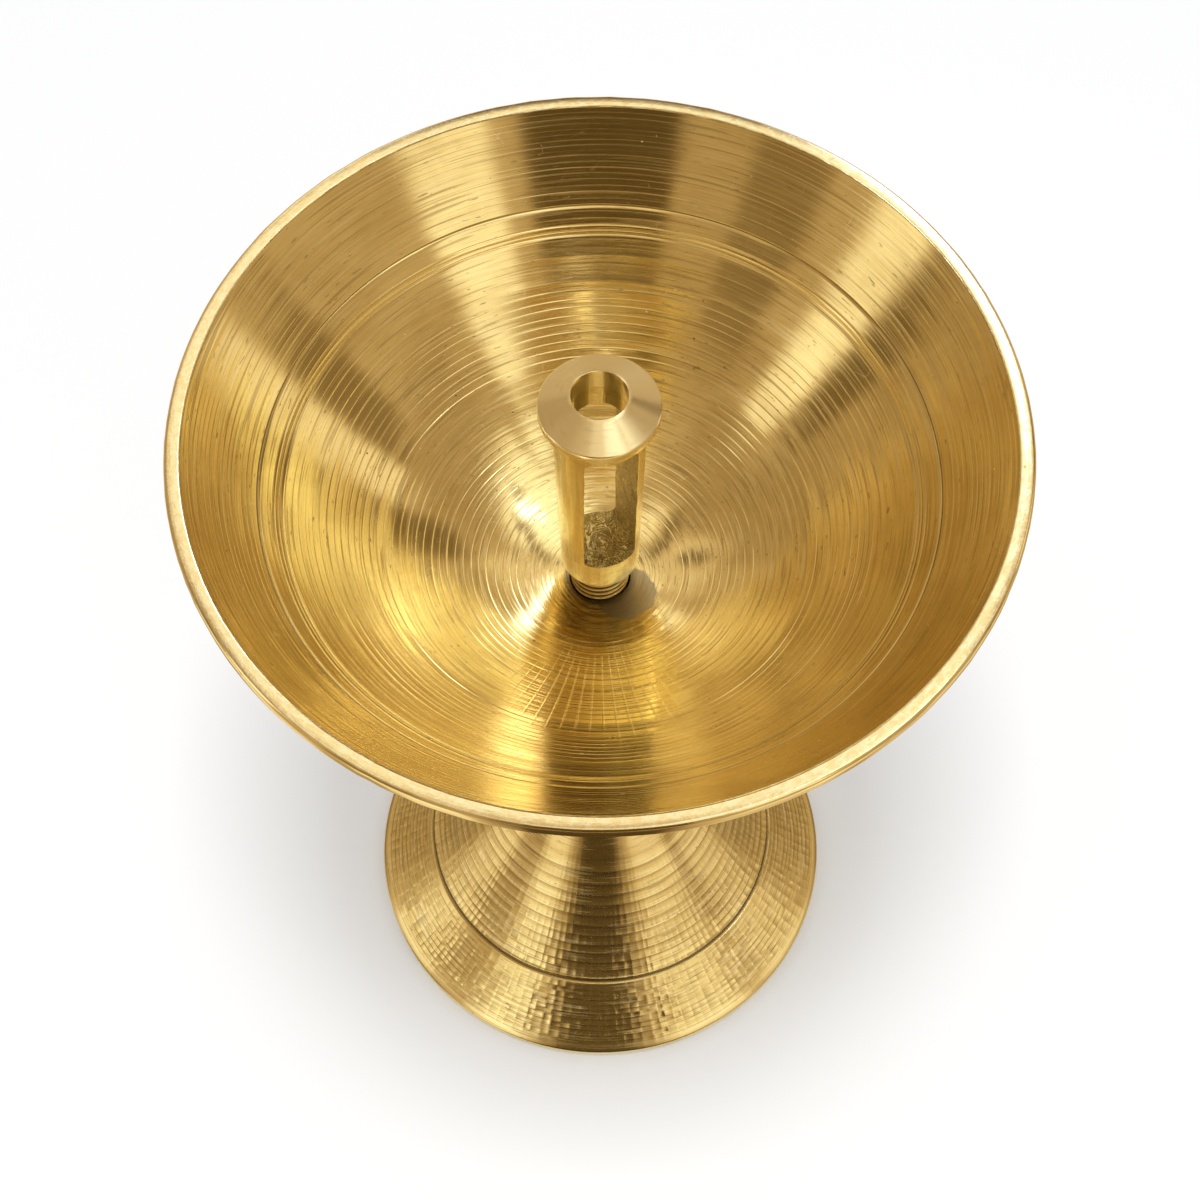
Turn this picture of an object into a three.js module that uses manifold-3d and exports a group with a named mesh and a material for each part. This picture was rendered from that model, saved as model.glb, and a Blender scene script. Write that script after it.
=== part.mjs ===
// A small turned brass oil lamp in three castings that screw together: a stand, a wide oil bowl
// on top of it, and a slotted wick holder that stands in the middle of the bowl.
// Millimetres, +Z up. The origin is on the table, on the lamp's axis. The wick slot runs along Y.
import * as THREE from "three";
import { mergeVertices } from "three/addons/utils/BufferGeometryUtils.js";
import Module from "manifold-3d";

const wasm = await Module();
wasm.setup();

// Fits. The threads are plain cylinders here, so the clearance is the one between them.
const THREAD_CLEARANCE = 0.33;
const SEAT_GAP = 0.3;

// Stand: a hollow trumpet foot, a stem, and a tapped socket for the bowl
const FOOT_RADIUS = 34.8;
const FOOT_EDGE_HEIGHT = 2.7;
const FOOT_EDGE_ROUND = 0.8;
const FOOT_WALL = 3;
const RING_GROOVE_RADIUS = 26.4;
const RING_GROOVE_HEIGHT = 10.4;
const RING_GROOVE_WIDTH = 0.9;
const RING_GROOVE_DEPTH = 0.6;
const FLANGE_SAG = 0.6;
const CONE_SAG = 2.5;
const CONE_SAG_PLACE = 0.22;
const CONE_TOP_STEEPNESS = 1.85;
const HOLLOW_DOME = 3;
const CONE_TOP_RADIUS = 14.4;
const CONE_TOP_HEIGHT = 29.9;
const WAIST_RADIUS = 9.6;
const WAIST_HEIGHT = 54;
const SEAT_RADIUS = 13.5;
const SEAT_BAND = 2.2;
const SEAT_FLARE = 1.6;
const STAND_HEIGHT = 85.9;

// Bowl: a dished cup with a flat lip, on a spigot that screws into the stand
const RIM_RADIUS = 50;
const LIP_WIDTH = 1.84;
const LIP_EDGE_HEIGHT = 1.4;
const LIP_ROUND = 0.4;
const BOWL_DEPTH = 34;
const FLOOR_THICKNESS = 3;
const DISH_RING_RADIUS = 40.5;
const DISH_RING_WIDTH = 0.7;
const DISH_RING_DEPTH = 0.3;
const SPIGOT_RADIUS = 7;
const SPIGOT_LENGTH = 12.5;
const SPIGOT_CHAMFER = 0.8;

// Wick holder: head, slotted body, and a threaded shank
const HEAD_RADIUS = 7.11;
const HEAD_EDGE_HEIGHT = 1.1;
const HEAD_CONE_HEIGHT = 2.1;
const HEAD_UNDERCUT = 1.2;
const BORE_RADIUS = 3.27;
const BORE_DEPTH = 12;
const BODY_TOP_RADIUS = 5.52;
const BODY_FOOT_RADIUS = 4.88;
const BODY_LENGTH = 30.9;
const NECK_HEIGHT = 5.8;
const SHANK_RADIUS = 3.55;
const SHANK_IN_BOWL = 11.9;
const SHANK_CHAMFER = 0.5;
const SLOT_WIDTH = 6.56;
const SLOT_TOP_BELOW_HEAD = 2;
const SLOT_SILL_HEIGHT = 3.4;
const SLOT_SILL_DROP = 3.2;
const SLOT_CORNER = 1.5;

// Facets: sides of the turned pieces, and steps along each curve of an outline
const WIDE_FACETS = 64;
const HOLDER_FACETS = 48;
const FLANGE_STEPS = 4;
const CONE_STEPS = 7;
const STEM_STEPS = 8;
const WALL_STEPS = 14;
const LIP_TO_RING_STEPS = 4;
const RING_TO_HOLE_STEPS = 16;
const SLOT_CORNER_STEPS = 5;

// Colours and finishes of the turned brass
const STAND_FINISH = { color: 0xb28a45, roughness: 0.34, metalness: 1 };
const BOWL_FINISH = { color: 0xc39a4c, roughness: 0.28, metalness: 1 };
const HOLDER_FINISH = { color: 0xcaa453, roughness: 0.24, metalness: 1 };

// Heights above the table that pieces share
const bowlUnderside = STAND_HEIGHT + SEAT_GAP;
const bowlFloor = bowlUnderside + FLOOR_THICKNESS;
const rimHeight = bowlFloor + BOWL_DEPTH;
const shoulder = bowlFloor + NECK_HEIGHT;
const headUnderside = shoulder + BODY_LENGTH;

const at = (radius, height) => new THREE.Vector2(radius, height);

// Points of a curve in the (radius, height) plane, without its first one.
function pointsAfterFirst(curve, steps) {
  return curve.getPoints(steps).slice(1);
}

// A closed solid from a geometry: shared corners are merged, and slivers at the axis are dropped.
function toSolid(geometry) {
  const bare = geometry.clone();
  bare.deleteAttribute("normal");
  bare.deleteAttribute("uv");
  const merged = mergeVertices(bare);
  const corners = merged.index.array;
  const kept = [];
  for (let i = 0; i < corners.length; i += 3) {
    const [a, b, c] = [corners[i], corners[i + 1], corners[i + 2]];
    if (a !== b && b !== c && c !== a) kept.push(a, b, c);
  }
  return new wasm.Manifold(
    new wasm.Mesh({
      numProp: 3,
      vertProperties: merged.attributes.position.array,
      triVerts: new Uint32Array(kept),
    }),
  );
}

// A solid turned about Z from an outline that starts and ends on the axis.
// The outline runs up the outside, so that its faces point out.
function turned(outline, facets) {
  const geometry = new THREE.LatheGeometry(outline, facets);
  geometry.rotateX(Math.PI / 2);
  return toSolid(geometry);
}

// A named mesh of a solid, with its finish.
function brassPiece(name, solid, finish) {
  const { vertProperties, triVerts } = solid.getMesh();
  const geometry = new THREE.BufferGeometry();
  geometry.setAttribute("position", new THREE.BufferAttribute(vertProperties, 3));
  geometry.setIndex(new THREE.BufferAttribute(triVerts, 1));
  const mesh = new THREE.Mesh(geometry, new THREE.MeshStandardMaterial(finish));
  mesh.name = name;
  return mesh;
}

// The same line moved into the metal by one wall thickness.
function inset(points, wall) {
  return points.map((point, i) => {
    const before = points[Math.max(i - 1, 0)];
    const after = points[Math.min(i + 1, points.length - 1)];
    const way = after.clone().sub(before).normalize();
    return at(point.x - wall * way.y, point.y + wall * way.x);
  });
}

// The shallow flange between the foot's rounded edge and its V-groove, bottom to top.
function flangeLine() {
  const edgeTop = at(FOOT_RADIUS - FOOT_EDGE_ROUND, FOOT_EDGE_HEIGHT);
  const groove = at(RING_GROOVE_RADIUS + RING_GROOVE_WIDTH / 2, RING_GROOVE_HEIGHT - RING_GROOVE_WIDTH / 2);
  const hollow = edgeTop.clone().add(groove).divideScalar(2);
  hollow.y -= FLANGE_SAG;
  return new THREE.QuadraticBezierCurve(edgeTop, hollow, groove).getPoints(FLANGE_STEPS);
}

// The cone above the V-groove, which steepens towards the stem.
function coneLine() {
  const groove = at(RING_GROOVE_RADIUS - RING_GROOVE_WIDTH / 2, RING_GROOVE_HEIGHT + RING_GROOVE_WIDTH / 2);
  const coneTop = at(CONE_TOP_RADIUS, CONE_TOP_HEIGHT);
  const hollow = groove.clone().lerp(coneTop, CONE_SAG_PLACE);
  hollow.y -= CONE_SAG;
  return new THREE.QuadraticBezierCurve(groove, hollow, coneTop).getPoints(CONE_STEPS);
}

// The stem above the cone: drawn in to a waist, then out again to the seat under the bowl. Each
// curve's middle corners lie a third of its height from its ends, as on an even Bezier curve.
function stemLine() {
  const coneTop = at(CONE_TOP_RADIUS, CONE_TOP_HEIGHT);
  const waist = at(WAIST_RADIUS, WAIST_HEIGHT);
  const seatFoot = at(SEAT_RADIUS, STAND_HEIGHT - SEAT_BAND);
  const lowerReach = (WAIST_HEIGHT - CONE_TOP_HEIGHT) / 3;
  const upperReach = (seatFoot.y - WAIST_HEIGHT) / 3;
  const drawnIn = at(CONE_TOP_RADIUS - lowerReach / CONE_TOP_STEEPNESS, CONE_TOP_HEIGHT + lowerReach);
  const lower = new THREE.CubicBezierCurve(coneTop, drawnIn, at(WAIST_RADIUS, WAIST_HEIGHT - lowerReach), waist);
  const flare = at(SEAT_RADIUS - SEAT_FLARE, seatFoot.y - upperReach / 2);
  const upper = new THREE.CubicBezierCurve(waist, at(WAIST_RADIUS, WAIST_HEIGHT + upperReach), flare, seatFoot);
  return [...pointsAfterFirst(lower, STEM_STEPS), ...pointsAfterFirst(upper, STEM_STEPS)];
}

function stand() {
  const flange = flangeLine();
  const cone = coneLine();
  const grooveBottom = at(RING_GROOVE_RADIUS - RING_GROOVE_DEPTH / 2, RING_GROOVE_HEIGHT - RING_GROOVE_DEPTH);
  const hollow = inset([...flange, ...cone], FOOT_WALL);
  const socketRadius = SPIGOT_RADIUS + THREAD_CLEARANCE;
  const socketFloor = bowlUnderside - SPIGOT_LENGTH - SEAT_GAP;
  const outline = [
    at(0, hollow.at(-1).y + HOLLOW_DOME),
    ...hollow.toReversed(),
    at(hollow[0].x, 0),
    at(FOOT_RADIUS - FOOT_EDGE_ROUND, 0),
    at(FOOT_RADIUS, FOOT_EDGE_ROUND),
    at(FOOT_RADIUS, FOOT_EDGE_HEIGHT - FOOT_EDGE_ROUND),
    ...flange,
    grooveBottom,
    ...cone,
    ...stemLine(),
    at(SEAT_RADIUS, STAND_HEIGHT),
    at(socketRadius, STAND_HEIGHT),
    at(socketRadius, socketFloor),
    at(0, socketFloor),
  ];
  return turned(outline, WIDE_FACETS);
}

// The dish inside the bowl and the wall outside are both paraboloids: the height rises with the
// square of the radius.
function dishHeight(radius) {
  return bowlFloor + BOWL_DEPTH * (radius / (RIM_RADIUS - LIP_WIDTH)) ** 2;
}

function wallHeight(radius) {
  const lipFoot = rimHeight - LIP_EDGE_HEIGHT;
  return bowlUnderside + (lipFoot - bowlUnderside) * (radius / RIM_RADIUS) ** 2;
}

// Radii from one to another, both ends included.
function spread(from, to, steps) {
  return Array.from({ length: steps + 1 }, (_, i) => from + ((to - from) * i) / steps);
}

function bowl() {
  const dishRadius = RIM_RADIUS - LIP_WIDTH;
  const holeRadius = SHANK_RADIUS + THREAD_CLEARANCE;
  const holeFloor = bowlFloor - SHANK_IN_BOWL - SEAT_GAP;
  const spigotEnd = bowlUnderside - SPIGOT_LENGTH;
  const ringOuter = DISH_RING_RADIUS + DISH_RING_WIDTH / 2;
  const ringInner = DISH_RING_RADIUS - DISH_RING_WIDTH / 2;
  const outline = [
    at(0, spigotEnd),
    at(SPIGOT_RADIUS - SPIGOT_CHAMFER, spigotEnd),
    at(SPIGOT_RADIUS, spigotEnd + SPIGOT_CHAMFER),
    at(SPIGOT_RADIUS, bowlUnderside),
    at(SEAT_RADIUS, bowlUnderside),
    ...spread(SEAT_RADIUS, RIM_RADIUS, WALL_STEPS).map((radius) => at(radius, wallHeight(radius))),
    at(RIM_RADIUS, rimHeight - LIP_ROUND),
    at(RIM_RADIUS - LIP_ROUND, rimHeight),
    ...spread(dishRadius, ringOuter, LIP_TO_RING_STEPS).map((radius) => at(radius, dishHeight(radius))),
    at(DISH_RING_RADIUS, dishHeight(DISH_RING_RADIUS) - DISH_RING_DEPTH),
    ...spread(ringInner, holeRadius, RING_TO_HOLE_STEPS).map((radius) => at(radius, dishHeight(radius))),
    at(holeRadius, holeFloor),
    at(0, holeFloor),
  ];
  return turned(outline, WIDE_FACETS);
}

// The slot is a flat bar with rounded corners, driven through the body along Y. Its sill slopes:
// it is lower at the back than at the front.
function slotCutter() {
  const sill = shoulder + SLOT_SILL_HEIGHT;
  const top = headUnderside - SLOT_TOP_BELOW_HEAD;
  const half = SLOT_WIDTH / 2;
  const length = 2 * (HEAD_RADIUS + BODY_TOP_RADIUS);
  const window = new THREE.Shape();
  window.moveTo(-half + SLOT_CORNER, sill);
  window.lineTo(half - SLOT_CORNER, sill);
  window.absarc(half - SLOT_CORNER, sill + SLOT_CORNER, SLOT_CORNER, -Math.PI / 2, 0);
  window.absarc(half - SLOT_CORNER, top - SLOT_CORNER, SLOT_CORNER, 0, Math.PI / 2);
  window.absarc(-half + SLOT_CORNER, top - SLOT_CORNER, SLOT_CORNER, Math.PI / 2, Math.PI);
  window.absarc(-half + SLOT_CORNER, sill + SLOT_CORNER, SLOT_CORNER, Math.PI, 1.5 * Math.PI);
  const extrusion = { depth: length, bevelEnabled: false, curveSegments: SLOT_CORNER_STEPS };
  const bar = new THREE.ExtrudeGeometry(window, extrusion);
  bar.translate(0, 0, -length / 2);
  bar.rotateX(Math.PI / 2);
  const corners = bar.attributes.position;
  const slope = SLOT_SILL_DROP / (2 * BODY_FOOT_RADIUS);
  for (let i = 0; i < corners.count; i++) {
    if (corners.getZ(i) < (sill + top) / 2) corners.setZ(i, corners.getZ(i) - slope * corners.getY(i));
  }
  return toSolid(bar);
}

function wickHolder() {
  const shankEnd = bowlFloor - SHANK_IN_BOWL;
  const headEdge = headUnderside + HEAD_UNDERCUT;
  const headTop = headEdge + HEAD_EDGE_HEIGHT;
  const tip = headTop + HEAD_CONE_HEIGHT;
  const outline = [
    at(0, shankEnd),
    at(SHANK_RADIUS - SHANK_CHAMFER, shankEnd),
    at(SHANK_RADIUS, shankEnd + SHANK_CHAMFER),
    at(SHANK_RADIUS, shoulder),
    at(BODY_FOOT_RADIUS, shoulder),
    at(BODY_TOP_RADIUS, headUnderside),
    at(HEAD_RADIUS, headEdge),
    at(HEAD_RADIUS, headTop),
    at(BORE_RADIUS, tip),
    at(BORE_RADIUS, tip - BORE_DEPTH),
    at(0, tip - BORE_DEPTH),
  ];
  return turned(outline, HOLDER_FACETS).subtract(slotCutter());
}

const lamp = new THREE.Group();
lamp.add(
  brassPiece("stand", stand(), STAND_FINISH),
  brassPiece("bowl", bowl(), BOWL_FINISH),
  brassPiece("wick_holder", wickHolder(), HOLDER_FINISH),
);

export default lamp;
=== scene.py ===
import math

import bpy
import numpy as np
from mathutils import Matrix, Vector


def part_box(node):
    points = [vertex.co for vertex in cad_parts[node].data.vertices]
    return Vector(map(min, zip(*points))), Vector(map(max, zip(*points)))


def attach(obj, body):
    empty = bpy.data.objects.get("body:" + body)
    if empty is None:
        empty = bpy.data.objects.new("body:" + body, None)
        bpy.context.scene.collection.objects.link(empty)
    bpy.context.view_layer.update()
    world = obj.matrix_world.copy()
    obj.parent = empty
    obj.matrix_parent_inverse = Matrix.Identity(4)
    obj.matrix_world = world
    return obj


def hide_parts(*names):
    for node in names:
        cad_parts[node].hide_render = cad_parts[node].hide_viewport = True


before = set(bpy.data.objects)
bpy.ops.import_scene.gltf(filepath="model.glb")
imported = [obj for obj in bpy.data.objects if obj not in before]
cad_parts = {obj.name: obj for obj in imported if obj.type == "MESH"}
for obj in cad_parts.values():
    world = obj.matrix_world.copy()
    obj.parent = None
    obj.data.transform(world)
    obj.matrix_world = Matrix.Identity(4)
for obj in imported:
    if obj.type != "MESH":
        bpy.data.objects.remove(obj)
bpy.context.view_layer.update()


# Stand
# One brass casting: a hollow trumpet foot and a stem, turned outside and left rough inside. The
# tool chattered as it crossed the foot, so its passes are broken up into small facets.
_, stand_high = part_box("stand")
foot_radius = stand_high.x
stand_height = stand_high.z
foot_edge_height = 0.0027
foot_edge_round = 0.0008
foot_wall = 0.003
flange_sag = 0.0006
hollow_dome = 0.003
hollow_shoulder = 0.0024
ring_groove_radius = 0.0264
ring_groove_height = 0.0104
ring_groove_width = 0.00055
ring_groove_depth = 0.00055
cone_top_radius = 0.0144
cone_top_height = 0.0299
cone_bend_share = 0.22
cone_sag = 0.0025
stem_foot_slope = 1.85
waist_radius = 0.0096
waist_height = 0.054
stem_flare = 0.0016
seat_radius = 0.0135
seat_band = 0.0022
seat_edge_round = 0.0004
socket_radius = 0.00733
socket_floor = 0.0734
socket_thread_depth = 0.0006
bowl_pitch = 0.0015
chatter_marks = 140
mark_crest = 2.0e-5
mark_scoop = 1.0e-5
facet_tilt_round = 3.4e-5
facet_tilt_across = 2.4e-5
stem_pass = 0.0027

FOOT_PASS = np.array([0.0, 0.08, 0.36, 0.64, 0.92])
MARK_SHARES = np.array([0.0, 0.16, 0.84])
# Across the foot's ring groove: its bottom row gets painted shade
GROOVE_SHADE = np.array([[0.0], [-1.0], [0.0]])


def curve(corners, count):
    """Points of the Bezier curve of these corners: each corner i weighs C(n, i) t^i (1 - t)^(n - i),
    for t from 0 to 1."""
    corners = np.asarray(corners, float)
    degree = len(corners) - 1
    share = np.linspace(0, 1, count)[:, None]
    power = np.arange(degree + 1)
    weight = np.array([math.comb(degree, i) for i in power])
    return (weight * share**power * (1 - share) ** (degree - power)) @ corners


def softened(corners, radius, steps=4):
    """An outline through corners, where each inner corner is cut back by radius on both sides and
    bridged by the parabola (1 - t)^2 before + 2 t (1 - t) corner + t^2 after."""
    corners = np.asarray(corners, float)
    parts = [corners[:1]]
    for before, corner, after in zip(corners, corners[1:], corners[2:]):
        back = (before - corner) / np.linalg.norm(before - corner)
        on = (after - corner) / np.linalg.norm(after - corner)
        parts.append(curve([corner + back * radius, corner, corner + on * radius], steps))
    return np.vstack([*parts, corners[-1:]])


def along(outline):
    """Distance along an outline from its first point to each of its points."""
    return np.concatenate([[0], np.cumsum(np.linalg.norm(np.diff(outline, axis=0), axis=1))])


def outward(outline):
    """Unit normals of an outline, to the right of its way forward."""
    way = np.gradient(outline, axis=0)
    normal = np.stack([way[:, 1], -way[:, 0]], 1)
    return normal / np.linalg.norm(normal, axis=1)[:, None]


def resampled(outline, distance):
    """Points of an outline at these distances along it."""
    reach = along(outline)
    return np.stack([np.interp(distance, reach, outline[:, axis]) for axis in (0, 1)], 1)


def rough(points, wavelength, count, random):
    """A smooth random height at each point, mostly between -1 and 1: the sum of sine waves of random
    directions and phases, over the root of twice their number."""
    direction = random.normal(size=(points.shape[-1], count))
    direction /= np.linalg.norm(direction, axis=0)
    step = 2 * math.pi / (wavelength * random.uniform(0.7, 1.5, count))
    phase = random.uniform(0, 2 * math.pi, count)
    return np.sin(points @ (direction * step) + phase).sum(-1) / math.sqrt(2 * count)


def passes(length, places, widths, shares, random):
    """Tool passes across a turned stretch. Their widths follow widths at these places, shares of the
    way, each up to a seventh off. Gives the rows' distances, each row's pass and its share of it."""
    way = np.linspace(0, 1, 50)
    mean = np.interp(way, places, widths)
    count = round(length * np.mean(1 / mean))
    ends = np.cumsum(count / (mean * np.sum(1 / mean)))
    share = np.interp(np.arange(count) + 0.5, ends, way)
    width = np.interp(share, places, widths) * random.uniform(0.87, 1.13, count)
    edge = np.concatenate([[0], np.cumsum(width)]) * length / width.sum()
    rows = (edge[:-1, None] + np.diff(edge)[:, None] * shares).ravel()
    return rows, np.repeat(np.arange(count), len(shares)), np.tile(shares, count)


def pass_relief(rows, number, share, turn, random, crest, scoop, tilt, step):
    """Height of tool passes, and how much of each point is a fresh cut line. A pass starts with a
    crest of random height, fading in and out round the turn. Across it lie a hollow 4 s (1 - s)
    deep, a fall of step to the next pass and a random tilt s - 1/2. Crest, step and tilt are for a
    pass 1 mm wide and grow with its width, the hollow with the square of it."""
    count = number.max() + 1
    starts = rows[share == 0]
    width = np.diff(np.append(starts, 2 * starts[-1] - starts[-2])) / 0.001
    waves = random.integers(1, 6, count)[number][:, None]
    phase = random.uniform(0, 2 * math.pi, count)[number][:, None]
    fade = 0.8 + 0.2 * np.sin(waves * turn + phase)
    strength = random.uniform(0.7, 1.3, count)
    ridge = (strength * crest * width)[number] * (share == 0)
    scooped = (random.uniform(0.7, 1.3, count) * scoop * width**2)[number] * 4 * share * (1 - share)
    lean = ((random.normal(size=count) * tilt - step) * width)[number] * (share - 0.5)
    relief = ridge[:, None] * fade - scooped[:, None] + lean[:, None] * (0.4 + fade)
    edge = np.clip(1 - np.minimum(share, 1 - share) / 0.08, 0, 1)
    return relief, (edge * np.minimum(strength[number], 1))[:, None] * fade


def thread_relief(height, turn, pitch, depth):
    """Height of a right-hand V thread: as the share h / pitch - turn / 2 pi of a turn, less its whole
    part, goes from 0 to 1, it falls from a narrow flat crest to a flat root at -depth and rises
    again."""
    share = (height[:, None] / pitch - turn / (2 * math.pi)) % 1
    return -depth * np.clip(1.25 * (1 - np.abs(2 * share - 1)) - 0.12, 0, 1)


def grid_quads(rows, columns, closed=False):
    """Quads between the points of a grid, row by row. A closed grid joins its last column to the
    first."""
    number = np.arange(rows * columns).reshape(rows, columns)
    beside = np.roll(number, -1, axis=1)
    quads = np.stack([number[:-1], beside[:-1], beside[1:], number[1:]], -1)
    return quads if closed else quads[:, :-1]


def turned_body(name, stretches, turn):
    """A closed body turned about Z. Its outline (radius, height) is made of stretches and runs from
    the axis up the outside to the axis again. Row i and column j of the grid lie at outline point i,
    moved out along the outline's normal by relief[i, j], at the angle turn[j], and hold line[i, j],
    how much of that place is a fresh cut line, or below 0 how much painted shade it gets. The map
    named turning holds each corner's share of the turn and its distance along the outline."""
    outline = np.vstack([points for points, _, _ in stretches])
    relief, line = (
        np.vstack([np.broadcast_to(stretch[part], (len(stretch[0]), len(turn))) for stretch in stretches])
        for part in (1, 2)
    )
    place = outline[:, None, :] + outward(outline)[:, None, :] * relief[:, :, None]
    rows, columns = len(outline), len(turn)
    radius = place[1:-1, :, 0]
    points = np.stack([radius * np.cos(turn), radius * np.sin(turn), place[1:-1, :, 1]], -1).reshape(-1, 3)
    poles = [[0, 0, outline[0, 1]], [0, 0, outline[-1, 1]]]
    quads = grid_quads(rows - 2, columns, closed=True)
    first = np.full(columns, len(points))
    low_fan = np.stack([first, quads[0, :, 1], quads[0, :, 0]], -1)
    high_fan = np.stack([first + 1, quads[-1, :, 3], quads[-1, :, 2]], -1)
    faces = [*quads.reshape(-1, 4).tolist(), *low_fan.tolist(), *high_fan.tolist()]
    mesh = bpy.data.meshes.new(name)
    mesh.from_pydata(np.vstack([points, poles]), [], faces)

    near = turn / (2 * math.pi)
    far = np.append(near[1:], 1)
    middle = (near + far) / 2
    reach = along(outline)
    low, high = reach[1:-2], reach[2:-1]
    u_parts = [[near, far, far, near], [middle, far, near], [middle, near, far]]
    v_parts = [np.stack([low, low, high, high], -1)[:, None], reach[[0, 1, 1]], reach[[-1, -2, -2]]]
    corners = [
        np.stack(np.broadcast_arrays(np.stack(u, -1), v, grid)[:2], -1).reshape(-1, 2)
        for u, v, grid in zip(u_parts, v_parts, [quads, low_fan, high_fan])
    ]
    mesh.uv_layers.new(name="turning").data.foreach_set("uv", np.concatenate(corners).ravel())
    cut_line_and_shade = np.append(line[1:-1].ravel(), [0, 0])
    mesh.attributes.new("cut_line_and_shade", "FLOAT", "POINT").data.foreach_set("value", cut_line_and_shade)
    mesh.shade_smooth()
    body = bpy.data.objects.new(name, mesh)
    bpy.context.scene.collection.objects.link(body)
    return body


def node(tree, kind, inputs=(), **settings):
    """A shader node with its settings, its inputs set to values or linked from other sockets."""
    made = tree.nodes.new(kind)
    for key, value in settings.items():
        setattr(made, key, value)
    for key, value in dict(inputs).items():
        if isinstance(value, bpy.types.NodeSocket):
            tree.links.new(value, made.inputs[key])
        else:
            made.inputs[key].default_value = value
    return made


def maths(tree, operation, *values):
    """The result of a Math node on these values or sockets."""
    return node(tree, "ShaderNodeMath", dict(enumerate(values)), operation=operation).outputs[0]


def vector_maths(tree, operation, *values):
    """The result of a Vector Math node on these values or sockets."""
    made = node(tree, "ShaderNodeVectorMath", dict(enumerate(values)), operation=operation)
    return made.outputs["Value" if operation in ("DISTANCE", "LENGTH") else "Vector"]


def separated(tree, vector):
    """The three numbers of a vector."""
    return node(tree, "ShaderNodeSeparateXYZ", {0: vector}).outputs


def object_place(tree):
    """Where a point lies in the lamp's own frame."""
    return node(tree, "ShaderNodeTexCoord").outputs["Object"]


def turning_place(tree):
    """Where a point lies on the turned surface: its share of the turn, and its distance along the
    outline."""
    return separated(tree, node(tree, "ShaderNodeUVMap", uv_map="turning").outputs[0])


def blended(tree, share, first, second):
    """The colour that goes from first to second as share goes from 0 to 1. The colour sockets of a
    Mix node are its inputs 6 and 7 and its output 2."""
    return node(tree, "ShaderNodeMix", {0: share, 6: first, 7: second}, data_type="RGBA").outputs[2]


def ramped(tree, value, low, high, to_low=0.0, to_high=1.0):
    """A value brought from the range low to high into another range, and kept inside it."""
    inputs = {"Value": value, "From Min": low, "From Max": high, "To Min": to_low, "To Max": to_high}
    return node(tree, "ShaderNodeMapRange", inputs).outputs[0]


def turning_vector(tree, across, around):
    """A vector for lines that run round the turned surface: the direction from the axis, times
    around, and the distance along the outline, times across."""
    flat = vector_maths(tree, "MULTIPLY", object_place(tree), (1, 1, 0))
    round_part = vector_maths(tree, "MULTIPLY", vector_maths(tree, "NORMALIZE", flat), (around,) * 3)
    line_part = maths(tree, "MULTIPLY", turning_place(tree)[1], across)
    line_vector = node(tree, "ShaderNodeCombineXYZ", {"Z": line_part}).outputs[0]
    return vector_maths(tree, "ADD", round_part, line_vector)


def noise(tree, vector, scale, detail=2.0, roughness=0.5, distortion=0.0):
    """The grey value of a noise texture."""
    made = node(tree, "ShaderNodeTexNoise", {"Vector": vector, "Scale": scale, "Detail": detail})
    made.inputs["Roughness"].default_value = roughness
    made.inputs["Distortion"].default_value = distortion
    return made.outputs[0]


def specks(tree, vector, scale, rarity, size):
    """Small round spots: in each cell of a Voronoi texture whose random value is above rarity, a
    spot of up to size of a cell."""
    cell = node(tree, "ShaderNodeTexVoronoi", {"Vector": vector, "Scale": scale})
    chosen = node(tree, "ShaderNodeSeparateColor", {0: cell.outputs["Color"]}).outputs[0]
    reach = ramped(tree, chosen, rarity, 1.0, 0.0, size)
    return ramped(tree, maths(tree, "SUBTRACT", reach, cell.outputs["Distance"]), 0.0, size / 3)


def scratches(tree, vector, scale, width):
    """Thin curved scratches: the places where one noise is within width of its middle, broken into
    short pieces by another."""
    off = maths(tree, "ABSOLUTE", maths(tree, "SUBTRACT", noise(tree, vector, scale, 1.0), 0.5))
    thin = ramped(tree, off, 0.0, width, 1.0, 0.0)
    piece = ramped(tree, noise(tree, vector, scale * 1.7, 2.0), 0.56, 0.6)
    return maths(tree, "MULTIPLY", thin, piece)


def bumped(tree, height, distance, under=None):
    """A bump of this height texture, distance metres high, over another one."""
    inputs = {"Height": height, "Distance": distance, "Strength": 1.0}
    if under is not None:
        inputs["Normal"] = under
    return node(tree, "ShaderNodeBump", inputs).outputs[0]


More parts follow.
